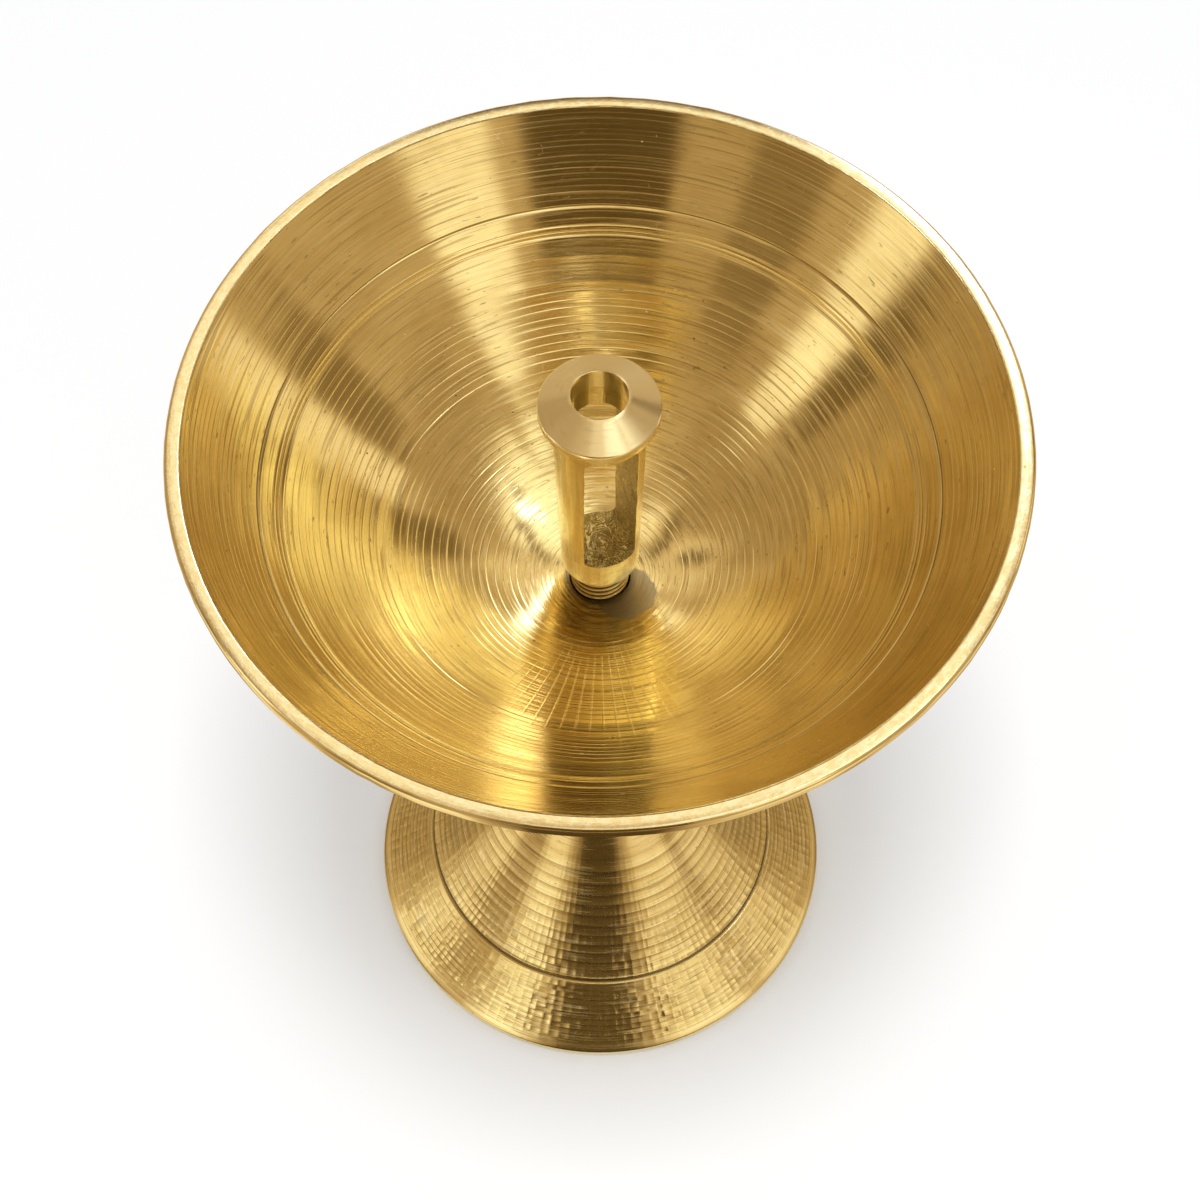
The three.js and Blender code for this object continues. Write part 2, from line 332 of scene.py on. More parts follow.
def brass(name, colour, tarnish, roughness, line_height, spread, lustre):
    """Turned brass: fine lines round the surface, with thin pale and dark ones and short dark dashes
    among them, bright cut lines where passes meet, painted shade in grooves and beside crests
    (where the cut line attribute is below 0), clouds of tarnish, pits, specks and scratches. Spread
    is how far highlights stretch across the lines, and lustre how bright the cut lines are."""
    material = bpy.data.materials.new(name)
    material.use_nodes = True
    tree = material.node_tree
    shader = tree.nodes["Principled BSDF"]
    where = object_place(tree)

    lines = noise(tree, turning_vector(tree, 2600, 5), 1.0, 3.0, 0.6)
    hair_lines = noise(tree, turning_vector(tree, 8000, 9), 1.0, 2.0, 0.6)
    clouds = noise(tree, where, 70.0, 4.0, 0.6, 0.6)
    grain = noise(tree, where, 5000.0, 2.0, 0.6)
    cut = node(tree, "ShaderNodeAttribute", attribute_name="cut_line_and_shade").outputs["Fac"]
    pits = specks(tree, where, 450.0, 0.75, 0.07)
    bright_specks = specks(tree, where, 520.0, 0.55, 0.07)
    scratch = scratches(tree, where, 240.0, 0.006)
    thin_lines = noise(tree, turning_vector(tree, 3400, 3), 1.0, 0.0)
    pale_line = ramped(tree, thin_lines, 0.64, 0.7)
    dark_line = ramped(tree, thin_lines, 0.34, 0.29, 0.0, 0.6)
    dashes = ramped(tree, noise(tree, turning_vector(tree, 3000, 22), 1.0, 1.0), 0.7, 0.76)
    # Painted shade: where the cut line attribute is below 0, in grooves and beside crests, the brass is
    # painted darker
    groove_shade = ramped(tree, cut, 0.0, -1.0)

    stain = ramped(tree, clouds, 0.42, 0.7, 0.0, 0.7)
    stain = maths(tree, "ADD", stain, ramped(tree, lines, 0.4, 0.8, 0.0, 0.5))
    stain = maths(tree, "ADD", stain, ramped(tree, hair_lines, 0.5, 0.8, 0.0, 0.4))
    tint = blended(tree, stain, (*colour, 1), (*tarnish, 1))
    fresh = maths(tree, "MULTIPLY", maths(tree, "MAXIMUM", cut, pale_line), lustre)
    fresh = maths(tree, "MAXIMUM", fresh, maths(tree, "MULTIPLY", scratch, 0.5))
    fresh = maths(tree, "MAXIMUM", fresh, bright_specks)
    tint = blended(tree, fresh, tint, (1.0, 0.93, 0.68, 1))
    dark_marks = maths(tree, "MAXIMUM", dashes, dark_line)
    dark = maths(tree, "MAXIMUM", groove_shade, maths(tree, "MULTIPLY", pits, 0.75))
    dark = maths(tree, "MAXIMUM", dark, maths(tree, "MULTIPLY", dark_marks, 0.5))
    tint = blended(tree, dark, tint, (0.16, 0.10, 0.04, 1))
    tree.links.new(tint, shader.inputs["Base Color"])
    dull = ramped(tree, clouds, 0.35, 0.75, 0.0, 0.05)
    dull = maths(tree, "ADD", dull, maths(tree, "MULTIPLY", dark, 0.3))
    dull = maths(tree, "ADD", dull, maths(tree, "MULTIPLY", fresh, 0.22))
    tree.links.new(maths(tree, "ADD", dull, roughness), shader.inputs["Roughness"])

    normal = bumped(tree, lines, line_height)
    normal = bumped(tree, hair_lines, line_height * 0.3, normal)
    normal = bumped(tree, thin_lines, line_height, normal)
    normal = bumped(tree, grain, 0.6e-6, normal)
    raised = maths(tree, "SUBTRACT", maths(tree, "MULTIPLY", bright_specks, 0.4), pits)
    normal = bumped(tree, raised, 0.00006, normal)
    tree.links.new(normal, shader.inputs["Normal"])
    tangent = node(tree, "ShaderNodeTangent", direction_type="RADIAL", axis="Z").outputs[0]
    tree.links.new(tangent, shader.inputs["Tangent"])
    shader.inputs["Metallic"].default_value = 1.0
    shader.inputs["Anisotropic"].default_value = spread
    shader.inputs["Anisotropic Rotation"].default_value = 0.25
    return material


def more_bump(material, height, distance):
    """Adds a bump over a material's own."""
    socket = material.node_tree.nodes["Principled BSDF"].inputs["Normal"]
    normal = bumped(material.node_tree, height, distance, socket.links[0].from_socket)
    material.node_tree.links.new(normal, socket)


flange_foot = [foot_radius - foot_edge_round, foot_edge_height]
groove_outer = [ring_groove_radius + ring_groove_width / 2, ring_groove_height - ring_groove_width / 2]
groove_bottom = [ring_groove_radius - ring_groove_depth / 2, ring_groove_height - ring_groove_depth]
groove_inner = [ring_groove_radius - ring_groove_width / 2, ring_groove_height + ring_groove_width / 2]
cone_top = [cone_top_radius, cone_top_height]
flange = curve([flange_foot, np.add(flange_foot, groove_outer) / 2 - [0, flange_sag], groove_outer], 60)
cone_bend = np.add(groove_inner, cone_bend_share * np.subtract(cone_top, groove_inner)) - [0, cone_sag]
cone = curve([groove_inner, cone_bend, cone_top], 120)
lower_reach = (waist_height - cone_top_height) / 3
upper_reach = (stand_height - seat_band - waist_height) / 3
lower_stem = curve(
    [
        cone_top,
        [cone_top_radius - lower_reach / stem_foot_slope, cone_top_height + lower_reach],
        [waist_radius, waist_height - lower_reach],
        [waist_radius, waist_height],
    ],
    14,
)
upper_stem = curve(
    [
        [waist_radius, waist_height],
        [waist_radius, waist_height + upper_reach],
        [seat_radius - stem_flare, stand_height - seat_band - upper_reach / 2],
        [seat_radius, stand_height - seat_band],
    ],
    14,
)
foot_line = np.vstack([flange, cone])
hollow = (foot_line - outward(foot_line) * foot_wall)[::-12]
hollow_top = hollow[0, 1]

stand_random = np.random.default_rng(3)
mark_width = stand_random.uniform(0.6, 1.4, chatter_marks)
mark_edge = np.concatenate([[0], np.cumsum(mark_width)]) * 2 * math.pi / mark_width.sum()
stand_turn = (mark_edge[:-1, None] + np.diff(mark_edge)[:, None] * MARK_SHARES).ravel()
mark_number = np.repeat(np.arange(chatter_marks), len(MARK_SHARES))
mark_share = np.tile(MARK_SHARES, chatter_marks)


def chattered(outline, places, widths, marks, leans, random):
    """A stretch cut by a tool that chatters: its passes, each broken into facets by the marks round
    the turn, which are hollow too, tilted at random, and parted by crests. Marks and leans say how
    strong the marks and the tilts are at these places, shares of the way. Crests are bright cut lines,
    and the places just beside them get painted shade. All of it fades by half over the last quarter."""
    rows, number, share = passes(along(outline)[-1], places, widths, FOOT_PASS, random)
    relief, line = pass_relief(
        rows, number, share, stand_turn, random, crest=2.4e-5, scoop=2.6e-5, tilt=1.4e-5, step=1.2e-5
    )
    mark = np.interp(rows / rows[-1], places, marks)[:, None]
    lean = np.interp(rows / rows[-1], places, leans)[:, None]
    facet = (number.max() + 1, chatter_marks)
    lean_round = random.normal(size=facet)[number][:, mark_number] * (mark_share - 0.5)
    lean_across = random.normal(size=facet)[number][:, mark_number] * (share[:, None] - 0.5)
    crest = random.uniform(0.0, 1.0, facet)[number][:, mark_number] * (mark_share == 0)
    scooped = 4 * mark_share * (1 - mark_share)
    marked = mark * (mark_crest * crest - mark_scoop * scooped)
    leaning = lean * (facet_tilt_round * lean_round + facet_tilt_across * lean_across)
    # Painted shade: a dark line just after each pass's crest, and random dark ticks just after the marks'
    # crests
    tick_shade = random.uniform(0.0, 1.0, facet)[number][:, mark_number] * (mark_share == MARK_SHARES[1])
    dark = 0.22 * (share == FOOT_PASS[1])[:, None] + 0.4 * mark * tick_shade
    line = np.maximum(0.9 * line, 0.5 * mark * crest) - dark
    fading = np.interp(rows / rows[-1], [0, 0.75, 1], [1, 1, 0.45])[:, None]
    return resampled(outline, rows), (relief + marked + leaning) * fading, line * fading


flange_marks = chattered(
    flange,
    places=[0, 0.12, 1],
    widths=[0.0008, 0.0009, 0.0009],
    marks=[0.2, 1.0, 1.0],
    leans=[0.3, 1.0, 1.0],
    random=stand_random,
)
cone_marks = chattered(
    cone,
    places=[0, 0.35, 0.6, 1],
    widths=[0.0014, 0.0017, 0.0021, 0.0026],
    marks=[1.0, 0.8, 0.3, 0.1],
    leans=[0.8, 0.4, 0.15, 0.1],
    random=stand_random,
)
foot_edge = softened(
    [
        hollow[-1],
        [hollow[-1, 0], 0],
        [foot_radius - foot_edge_round, 0],
        [foot_radius, foot_edge_round],
        [foot_radius, foot_edge_height - foot_edge_round],
        flange_foot,
    ],
    0.0003,
)
crown_line = curve(
    [[0.002, hollow_top + hollow_dome], [0.008, hollow_top + hollow_shoulder], hollow[0]], 5
)
socket_heights = np.arange(stand_height - 0.0006, socket_floor + 0.0004, -bowl_pitch / 4)
socket = np.stack([np.full(len(socket_heights), socket_radius), socket_heights], 1)
seat_edge = softened(
    [
        [seat_radius, stand_height - seat_band + 0.0003],
        [seat_radius, stand_height],
        [socket_radius, stand_height],
    ],
    seat_edge_round,
)
stand = turned_body(
    "stand_casting",
    [
        ([[0, hollow_top + hollow_dome]], 0, 0),
        (crown_line[:-1], 0, 0),
        (hollow, 0, 0),
        (foot_edge[1:-1], 0, 0),
        flange_marks,
        ([groove_outer, groove_bottom, groove_inner], 0, GROOVE_SHADE),
        cone_marks,
        (lower_stem, 0, 0),
        (upper_stem[1:], 0, 0),
        (seat_edge, 0, 0),
        (socket, thread_relief(socket[:, 1], stand_turn, bowl_pitch, -socket_thread_depth), 0),
        ([[socket_radius, socket_floor], [0, socket_floor]], 0, 0),
    ],
    stand_turn,
)
stand_metal = brass(
    "stand_brass",
    colour=(0.92, 0.79, 0.44),
    tarnish=(0.72, 0.57, 0.26),
    roughness=0.15,
    line_height=4.0e-6,
    spread=0.4,
    lustre=0.6,
)

# Wide soft passes go up the stem: a sine of the distance along it, with a slow random waver
stand_tree = stand_metal.node_tree
stem_phase = maths(stand_tree, "MULTIPLY", turning_place(stand_tree)[1], 2 * math.pi / stem_pass)
waver = noise(stand_tree, turning_vector(stand_tree, 120, 0.6), 1.0, 1.0)
stem_phase = maths(stand_tree, "ADD", stem_phase, maths(stand_tree, "MULTIPLY", waver, 9.0))
stand_rise = separated(stand_tree, object_place(stand_tree))["Z"]
on_stem = ramped(stand_tree, stand_rise, cone_top_height - 0.002, cone_top_height + 0.003)
stem_wave = maths(stand_tree, "MULTIPLY", maths(stand_tree, "SINE", stem_phase), on_stem)
more_bump(stand_metal, stem_wave, 0.00002)
stand.data.materials.append(stand_metal)
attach(stand, "stand")
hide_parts("stand")


# Bowl
# One brass casting, turned inside and out: a deep dish with a flat lip, ring grooves, and the tool's
# passes left showing. A threaded spigot under it screws into the stand, and its floor is tapped for
# the wick holder.
bowl_low, bowl_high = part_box("bowl")
rim_radius = bowl_high.x
rim_height = bowl_high.z
spigot_end = bowl_low.z
lip_width = 0.00184
lip_edge_height = 0.0014
lip_chamfer = 0.00035
lip_round = 0.0002
dish_depth = 0.034
floor_thickness = 0.003
spigot_radius = 0.007
spigot_thread_depth = 0.0006
hole_radius = 0.00388
hole_floor = 0.077
hole_thread_depth = 0.0003
holder_pitch = 0.001
ring_radii = [0.0405, 0.0389, 0.0384, 0.0381]
ring_widths = [0.0003, 0.00018, 0.00018, 0.00018]
ring_depths = [0.00006, 0.000025, 0.00003, 0.000025]
bowl_columns = 220
dish_points = 4000

DISH_PASS = np.array([0.0, 0.05, 0.12, 0.88, 0.95])
RING_SHARES = np.array([-0.5, -0.3, 0.0, 0.3, 0.5])
RING_DEPTHS = np.array([0.0, -0.8, -1.0, -0.8, 0.0])

# Across each ring: how much of a place is a fresh cut line, or below 0 how much painted shade it gets
RING_LINES = [[0.2, -0.5, -0.8, -0.5, 0.2], [0, 0, 0.8, 0, 0], [0, 0, 0.8, -0.3, 0], [0, 0, 0.7, -0.3, 0]]

bowl_floor = rim_height - dish_depth
bowl_underside = bowl_floor - floor_thickness
# Where the painted shadow of the holder's head lies on the dish floor: this far round and out from the hole
head_shadow_side = math.radians(30)
head_shadow_radius = 0.0044
head_shadow_middle = (head_shadow_radius * math.sin(head_shadow_side), -head_shadow_radius * math.cos(head_shadow_side), bowl_floor)
dish_ticks = 100
tick_step = 0.0013
ticks_side = math.radians(18)
ticks_reach = 0.021
ticks_height = bowl_floor + 0.006
ticks_middle = (-ticks_reach * math.sin(ticks_side), -ticks_reach * math.cos(ticks_side), ticks_height)
ticks_radius = 0.012
bowl_random = np.random.default_rng(5)
bowl_turn = np.linspace(0, 2 * math.pi, bowl_columns, endpoint=False)

# The dish is a parabola from the lip's inner edge down to the hole
dish_rim = rim_radius - lip_width
dish_radii = np.linspace(dish_rim, hole_radius, dish_points)
dish = np.stack([dish_radii, bowl_floor + dish_depth * (dish_radii / dish_rim) ** 2], 1)
dish_length = along(dish)[-1]
rows, number, share = passes(
    dish_length,
    places=[0, 0.17, 0.3, 0.6, 0.84, 0.93, 1],
    widths=[0.0007, 0.00075, 0.00105, 0.00115, 0.0011, 0.00065, 0.00045],
    shares=DISH_PASS,
    random=bowl_random,
)
relief, line = pass_relief(
    rows, number, share, bowl_turn, bowl_random, crest=1.4e-5, scoop=5.0e-6, tilt=1.1e-5, step=0.0
)
for ring_radius, ring_width, ring_depth, ring_line in zip(ring_radii, ring_widths, ring_depths, RING_LINES):
    ring_place = np.interp(-ring_radius, -dish_radii, along(dish))
    clear = np.abs(rows - ring_place) > ring_width * 0.6
    ring_relief = np.repeat(RING_DEPTHS[:, None] * ring_depth, bowl_columns, axis=1)
    rows = np.concatenate([rows[clear], ring_place + RING_SHARES * ring_width])
    order = np.argsort(rows)
    rows = rows[order]
    relief = np.vstack([relief[clear], ring_relief])[order]
    line = np.vstack([line[clear], np.repeat(np.array([ring_line]).T, bowl_columns, axis=1)])[order]
dish_marks = (resampled(dish, rows)[1:], relief[1:], line[1:])

wall_radii = np.linspace(seat_radius + 0.0004, rim_radius - 0.0003, 16)
wall_height = (rim_height - lip_edge_height - bowl_underside) / rim_radius**2
wall = np.stack([wall_radii, bowl_underside + wall_height * wall_radii**2], 1)
lip = softened(
    [
        wall[-1],
        [rim_radius, rim_height - lip_edge_height],
        [rim_radius, rim_height - lip_chamfer],
        [rim_radius - lip_chamfer, rim_height],
        [dish_rim, rim_height],
        dish[dish_points // 100],
    ],
    lip_round,
)
lip_circle = np.stack([np.cos(bowl_turn), np.sin(bowl_turn)], 1) * rim_radius
lip_nicks = 0.00003 * rough(lip_circle, 0.0035, 12, bowl_random) - 0.00004
spigot_heights = np.arange(spigot_end + 0.001, bowl_underside - 0.0006, bowl_pitch / 4)
spigot = np.stack([np.full(len(spigot_heights), spigot_radius), spigot_heights], 1)
hole_heights = np.arange(bowl_floor - 0.0003, hole_floor + 0.0003, -holder_pitch / 3)
hole = np.stack([np.full(len(hole_heights), hole_radius), hole_heights], 1)
bowl = turned_body(
    "bowl_casting",
    [
        ([[0, spigot_end], [0.0035, spigot_end], [spigot_radius - 0.0009, spigot_end]], 0, 0),
        ([[spigot_radius - 0.0006, spigot_end + 0.0004]], 0, 0),
        (spigot, thread_relief(spigot[:, 1], bowl_turn, bowl_pitch, spigot_thread_depth), 0),
        ([[spigot_radius - 0.0006, bowl_underside], [seat_radius, bowl_underside]], 0, 0),
        (wall[:-1], 0, 0),
        (lip[:-1], np.minimum(lip_nicks, 0), 0),
        dish_marks,
        (hole, thread_relief(hole[:, 1], bowl_turn, holder_pitch, -hole_thread_depth), 0),
        ([[hole_radius, hole_floor], [0, hole_floor]], 0, 0),
    ],
    bowl_turn,
)


def overlaid(material, share, colour, roughness):
    """Lays another colour and roughness over a material's own, as far as share goes."""
    tree = material.node_tree
    shader = tree.nodes["Principled BSDF"]
    own_colour = shader.inputs["Base Color"].links[0].from_socket
    own_roughness = shader.inputs["Roughness"].links[0].from_socket
    tree.links.new(blended(tree, share, own_colour, colour), shader.inputs["Base Color"])
    change = maths(tree, "MULTIPLY", share, maths(tree, "SUBTRACT", roughness, own_roughness))
    tree.links.new(maths(tree, "ADD", own_roughness, change), shader.inputs["Roughness"])


bowl_metal = brass(
    "bowl_brass",
    colour=(0.94, 0.80, 0.44),
    tarnish=(0.72, 0.57, 0.27),
    roughness=0.11,
    line_height=3.5e-6,
    spread=0.5,
    lustre=0.32,
)
bowl_tree = bowl_metal.node_tree
bowl_where = object_place(bowl_tree)
bowl_height = separated(bowl_tree, bowl_where)["Z"]

# The lip is worn paler and mottled
lip_share = ramped(bowl_tree, bowl_height, rim_height - 0.0002, rim_height - 0.0001)
lip_mottle = noise(bowl_tree, turning_vector(bowl_tree, 1500, 45), 1.0, 4.0, 0.65, 0.5)
lip_tint = blended(
    bowl_tree, ramped(bowl_tree, lip_mottle, 0.42, 0.58), (0.92, 0.80, 0.52, 1), (1.0, 0.95, 0.74, 1)
)
overlaid(bowl_metal, maths(bowl_tree, "MULTIPLY", lip_share, 0.85), lip_tint, 0.17)
more_bump(bowl_metal, maths(bowl_tree, "MULTIPLY", lip_share, lip_mottle), 0.000012)


def ragged_distance(middle, edge, ragged):
    """Distance from a point of the bowl, made uneven by a noise times ragged."""
    distance = vector_maths(bowl_tree, "DISTANCE", bowl_where, middle)
    return maths(bowl_tree, "ADD", distance, maths(bowl_tree, "MULTIPLY", edge, ragged))


# Painted shadow and shade: a dull grey patch beside the hole stands in for the holder head's shadow, and a
# dark ring round the hole for the shade under the holder
shade_edge = noise(bowl_tree, bowl_where, 500.0, 2.0, 0.5)
head_shadow_reach = ragged_distance(head_shadow_middle, shade_edge, 0.0012)
head_shadow_share = ramped(bowl_tree, head_shadow_reach, head_shadow_radius, head_shadow_radius + 0.0003, 0.8, 0.0)
overlaid(bowl_metal, head_shadow_share, (0.38, 0.34, 0.27, 1), 0.32)
hole_reach = ragged_distance((0, 0, bowl_floor), shade_edge, 0.0012)
hole_shade_share = ramped(bowl_tree, hole_reach, 0.0048, 0.0056, 0.85, 0.0)
overlaid(bowl_metal, hole_shade_share, (0.26, 0.22, 0.15, 1), 0.3)

# In front of the hole the tool chattered: faint crossed lines, where a sine round the turn or one
# along the outline is near its top
tick_turn, tick_height, _ = turning_place(bowl_tree)
turn_wave = maths(bowl_tree, "SINE", maths(bowl_tree, "MULTIPLY", tick_turn, 2 * math.pi * dish_ticks))
cross_wave = maths(bowl_tree, "SINE", maths(bowl_tree, "MULTIPLY", tick_height, 2 * math.pi / tick_step))
hatching = ramped(bowl_tree, maths(bowl_tree, "MAXIMUM", turn_wave, cross_wave), 0.8, 1.0)
tick_reach = ragged_distance(ticks_middle, noise(bowl_tree, bowl_where, 250.0, 2.0, 0.5), 0.012)
tick_share = ramped(bowl_tree, tick_reach, ticks_radius, ticks_radius + 0.006, 0.55, 0.0)
ticks = maths(bowl_tree, "MULTIPLY", hatching, tick_share)
overlaid(bowl_metal, ticks, (1.0, 0.9, 0.6, 1), 0.3)
more_bump(bowl_metal, ticks, 0.00003)
bowl.data.materials.append(bowl_metal)
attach(bowl, "bowl")
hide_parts("bowl")


# Wick holder
# A turned brass rod: a flanged head with a bored cone on top, a tapering body with one slot sawn
# right through it, rough inside, and a threaded shank that screws into the bowl's floor.
holder_low, holder_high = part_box("wick_holder")
shank_end = holder_low.z
tip_height = holder_high.z
head_radius = holder_high.x
head_cone_height = 0.0021
head_edge_height = 0.0011
head_undercut = 0.0012
bore_radius = 0.00327
bore_depth = 0.012
body_top_radius = 0.00552
body_foot_radius = 0.00488
neck_height = 0.0058
shank_radius = 0.00355
body_edge_round = 0.00016
slot_width = 0.00656
slot_top_below_head = 0.002
slot_sill_height = 0.0034
slot_sill_drop = 0.0032
slot_corner = 0.0015
thread_radius = 0.0037
thread_depth = 0.0004
holder_columns = 192

shoulder = bowl_floor + neck_height
head_top = tip_height - head_cone_height
head_edge = head_top - head_edge_height
head_underside = head_edge - head_undercut
holder_turn = np.linspace(0, 2 * math.pi, holder_columns, endpoint=False)
holder_random = np.random.default_rng(8)
shank_heights = np.arange(shank_end + 0.0008, shoulder - 0.0002, holder_pitch / 8)
shank = np.stack([np.full(len(shank_heights), thread_radius), shank_heights], 1)
body_line = softened(
    [
        [shank_radius, shoulder],
        [body_foot_radius, shoulder],
        [body_top_radius, head_underside],
        [head_radius, head_edge],
        [head_radius, head_top],
        [bore_radius, tip_height],
        [bore_radius, tip_height - bore_depth],
        [0.001, tip_height - bore_depth],
    ],
    body_edge_round,
)
body_length = along(body_line)
body_rows = np.unique(np.concatenate([body_length, np.arange(0, body_length[-1], 0.0006)]))
body_points = resampled(body_line, body_rows)
round_body = np.stack([np.cos(holder_turn), np.sin(holder_turn)], 1)
drawn_marks = 3.0e-6 * rough(round_body, 0.5, 16, holder_random)
drawn_marks = drawn_marks + 1.2e-6 * rough(round_body, 0.16, 16, holder_random)
on_body = (body_rows > body_length[4]) & (body_points[:, 1] < head_underside - 0.0003)
holder = turned_body(
    "wick_holder_rod",
    [
        ([[0, shank_end], [0.0015, shank_end], [thread_radius - 0.0007, shank_end]], 0, 0),
        ([[thread_radius - 0.0003, shank_end + 0.0004]], 0, 0),
        (shank, thread_relief(shank[:, 1], holder_turn, holder_pitch, thread_depth), 0),
        (body_points, on_body[:, None] * drawn_marks, 0),
        ([[0, tip_height - bore_depth]], 0, 0),
    ],
    holder_turn,
)
holder_metal = brass(
    "wick_holder_brass",
    colour=(0.96, 0.84, 0.50),
    tarnish=(0.84, 0.71, 0.38),
    roughness=0.1,
    line_height=1.5e-6,
    spread=0.5,
    lustre=0.2,
)
holder_tree = holder_metal.node_tree
holder_where = object_place(holder_tree)
holder_height = separated(holder_tree, holder_where)["Z"]

# The body was drawn, so its grain runs up and down in the bump, and pale streaks of colour along it are a
# painted reflection; the head is turned and duller
streak_vector = vector_maths(holder_tree, "MULTIPLY", holder_where, (2600, 2600, 60))
streaks = noise(holder_tree, streak_vector, 1.0, 2.0, 0.5)
below_head = ramped(holder_tree, holder_height, head_underside - 0.0004, head_underside, 1.0, 0.0)
# Painted reflection: pale streaks laid along the drawn grain
grain_and_reflection_streaks = maths(holder_tree, "MULTIPLY", ramped(holder_tree, streaks, 0.4, 0.65), below_head)
overlaid(holder_metal, maths(holder_tree, "MULTIPLY", grain_and_reflection_streaks, 0.7), (1.0, 0.93, 0.62, 1), 0.16)
more_bump(holder_metal, maths(holder_tree, "MULTIPLY", streaks, below_head), 0.00002)
on_head = ramped(holder_tree, holder_height, head_edge, head_edge + 0.0001)
overlaid(holder_metal, maths(holder_tree, "MULTIPLY", on_head, 0.8), (0.97, 0.88, 0.64, 1), 0.24)

# Painted shade: the threaded shank, under the shoulder and down in the bowl's hole, is painted darker, and
# its thread roots nearly black
neck_shade = ramped(holder_tree, holder_height, shoulder - 0.0002, shoulder, 1.0, 0.0)
flat = vector_maths(holder_tree, "MULTIPLY", holder_where, (1, 1, 0))
from_axis = vector_maths(holder_tree, "LENGTH", flat)
root_shade = ramped(holder_tree, from_axis, thread_radius - 0.00022, thread_radius - 0.00005, 0.95, 0.0)
overlaid(holder_metal, maths(holder_tree, "MULTIPLY", neck_shade, 0.65), (0.5, 0.37, 0.17, 1), 0.2)
overlaid(holder_metal, maths(holder_tree, "MULTIPLY", neck_shade, root_shade), (0.06, 0.04, 0.02, 1), 0.4)
holder.data.materials.append(holder_metal)

# Inside the slot the brass is rough and stained, with swirling tool lines
slot_metal = bpy.data.materials.new("slot_brass")
slot_metal.use_nodes = True
slot_tree = slot_metal.node_tree
slot_shader = slot_tree.nodes["Principled BSDF"]
slot_vector = vector_maths(slot_tree, "MULTIPLY", object_place(slot_tree), (1, 0.6, 1))
swirls = noise(slot_tree, slot_vector, 300.0, 4.0, 0.6, 1.5)
tool_lines = maths(slot_tree, "SINE", maths(slot_tree, "MULTIPLY", swirls, 120.0))
slot_tint = blended(
    slot_tree, ramped(slot_tree, tool_lines, -1.2, 1.4), (0.20, 0.13, 0.04, 1), (1.0, 0.86, 0.46, 1)
)
slot_tree.links.new(slot_tint, slot_shader.inputs["Base Color"])
slot_normal = bumped(slot_tree, tool_lines, 0.00006, bumped(slot_tree, swirls, 0.0012))
slot_tree.links.new(slot_normal, slot_shader.inputs["Normal"])
slot_shader.inputs["Metallic"].default_value = 1.0
slot_shader.inputs["Roughness"].default_value = 0.32
holder.data.materials.append(slot_metal)

slot_sill = shoulder + slot_sill_height
slot_top = head_underside - slot_top_below_head
slot_reach = 0.009
slot_bulge = 0.00012
sill_rise = 0.004
slot_points = 180
slot_steps = 90


def slot_bar():
    """The saw's path: a rectangle with round corners in X and Z, carried along Y. Its sill drops
    towards +Y, and every point is moved by a smooth random amount."""
    half = slot_width / 2
    left, right = [[-half, slot_top], [-half, slot_sill]], [[half, slot_sill], [half, slot_top]]
    window = softened([[0, slot_sill], *right, *left, [0, slot_sill]], slot_corner, 9)
    window = resampled(window, np.linspace(0, along(window)[-1], slot_points, endpoint=False))
    depth = np.linspace(-slot_reach, slot_reach, slot_steps)[:, None]
    lowness = np.clip((slot_sill + sill_rise - window[:, 1]) / sill_rise, 0, 1)
    x = np.broadcast_to(window[:, 0], (slot_steps, slot_points))
    z = window[:, 1] - lowness * slot_sill_drop * depth / (2 * body_foot_radius)
    points = np.stack([x, np.broadcast_to(depth, x.shape), z], -1)
    out = points - [0, 0, (slot_sill + slot_top) / 2]
    out[..., 1] = 0
    out /= np.linalg.norm(out, axis=-1)[..., None]
    bumps = 0.00005 * rough(points, 0.0012, 30, holder_random)
    bumps = bumps + 0.00007 * rough(points, 0.004, 16, holder_random)
    points = points + out * np.minimum(bumps, slot_bulge)[..., None]
    ring = np.arange(slot_points)
    quads = grid_quads(slot_steps, slot_points, closed=True)[..., [0, 3, 2, 1]].reshape(-1, 4)
    faces = [*quads.tolist(), ring.tolist(), (ring[::-1] + len(quads)).tolist()]
    mesh = bpy.data.meshes.new("slot_bar")
    mesh.from_pydata(points.reshape(-1, 3), [], faces)
    mesh.materials.append(holder_metal)
    mesh.materials.append(slot_metal)
    mesh.polygons.foreach_set("material_index", np.ones(len(faces), int))
    bar = bpy.data.objects.new("slot_bar", mesh)
    bpy.context.scene.collection.objects.link(bar)
    return bar


cutter = slot_bar()
cut = holder.modifiers.new("slot", "BOOLEAN")
cut.object = cutter
cut.operation = "DIFFERENCE"
cut.solver = "EXACT"
settled = holder.evaluated_get(bpy.context.evaluated_depsgraph_get())
cut_mesh = bpy.data.meshes.new_from_object(settled)
holder.modifiers.clear()
holder.data = cut_mesh
bpy.data.objects.remove(cutter)
cut_mesh.shade_smooth()
cut_mesh.set_sharp_from_angle(angle=math.radians(38))
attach(holder, "wick_holder")
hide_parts("wick_holder")


# Floor, lights and camera
# A white table in a plain studio. What the brass mirrors is a wide dome of soft warm light, with
# brighter panels and darker cards in it, and a low ring of the same round the foot. Only
# reflections show them; the table is lit by a white sky and three soft lamps.
camera_turn = math.radians(-18)
camera_tilt = math.radians(28.89)
camera_roll = math.radians(-0.1)
camera_reach = 0.1446
camera_height = 0.3448
camera_lens = 69.0
camera_sensor = 36.0
dome_radius = 1.2
dome_lowest = -7
dome_columns = 241
dome_rows = 66
lamp_reach = dome_radius * 0.8
dome_centre_height = 0.1
sky_level = 0.63
backdrop_level = 0.93
table_half = 3.0
table_glow = 0.1

